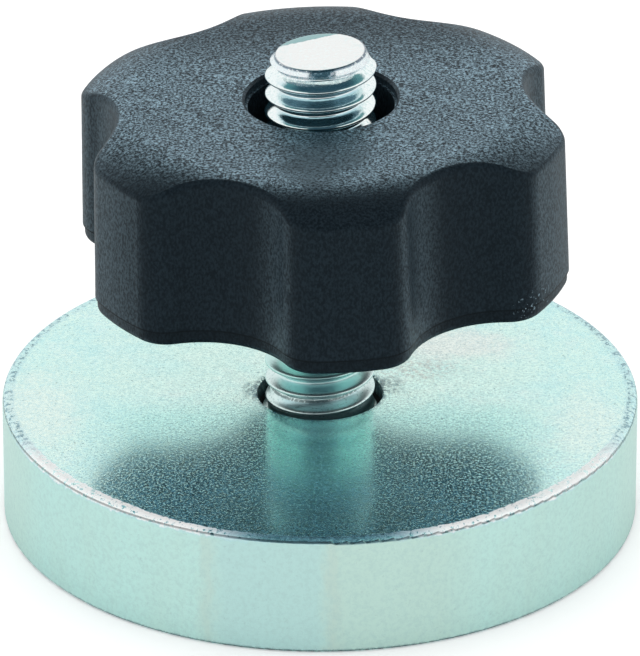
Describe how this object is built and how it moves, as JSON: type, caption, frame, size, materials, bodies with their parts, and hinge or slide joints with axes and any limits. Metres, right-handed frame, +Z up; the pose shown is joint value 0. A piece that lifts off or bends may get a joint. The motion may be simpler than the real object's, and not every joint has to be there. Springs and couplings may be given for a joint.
{
  "type": "magnetic base",
  "caption": "Round magnetic base with a threaded stud and a lobed knob that screws down to clamp a bracket",
  "frame": {"origin": "middle of the base's underside, on the surface that the magnet holds to", "axes": "+Z runs up along the stud; the reference view looks along +Y, so -Y is the front"},
  "size_m": [0.046, 0.046, 0.0362],
  "materials": {
    "zinc_plated_pot": "semi-gloss blue-passivated zinc plate on turned steel, fine grain",
    "zinc_plated_thread": "bright zinc plate on a rolled thread",
    "hard_ferrite": "ground hard ferrite, dull dark grey",
    "casting_resin": "black casting resin, slightly glossy",
    "black_moulding": "moulded blue-black plastic with a fine eroded texture",
    "steel_bush": "turned steel, thinly zinc plated"
  },
  "bodies": {
    "base": {"pot_housing": "zinc_plated_pot", "magnet_ring": "hard_ferrite", "edge_resin": "casting_resin", "centre_resin": "casting_resin", "stud": "zinc_plated_thread"},
    "thread_insert": {"bush": "steel_bush"},
    "handle": {"knob": "black_moulding"}
  },
  "joints": [
    {"name": "knob_travel", "type": "slide", "parent": "base", "child": "thread_insert", "axis": [0, 0, 1], "range_m": [-0.00988, 0.00706]},
    {"name": "knob_turn", "type": "hinge", "parent": "thread_insert", "child": "handle", "pos_m": [0, 0, 0.02], "axis": [0, 0, 1], "range_deg": [-2520, 1800]}
  ],
  "couplings": [
    {"joint": "knob_travel", "follows": "knob_turn", "m_per_rad": 0.00022459}
  ]
}
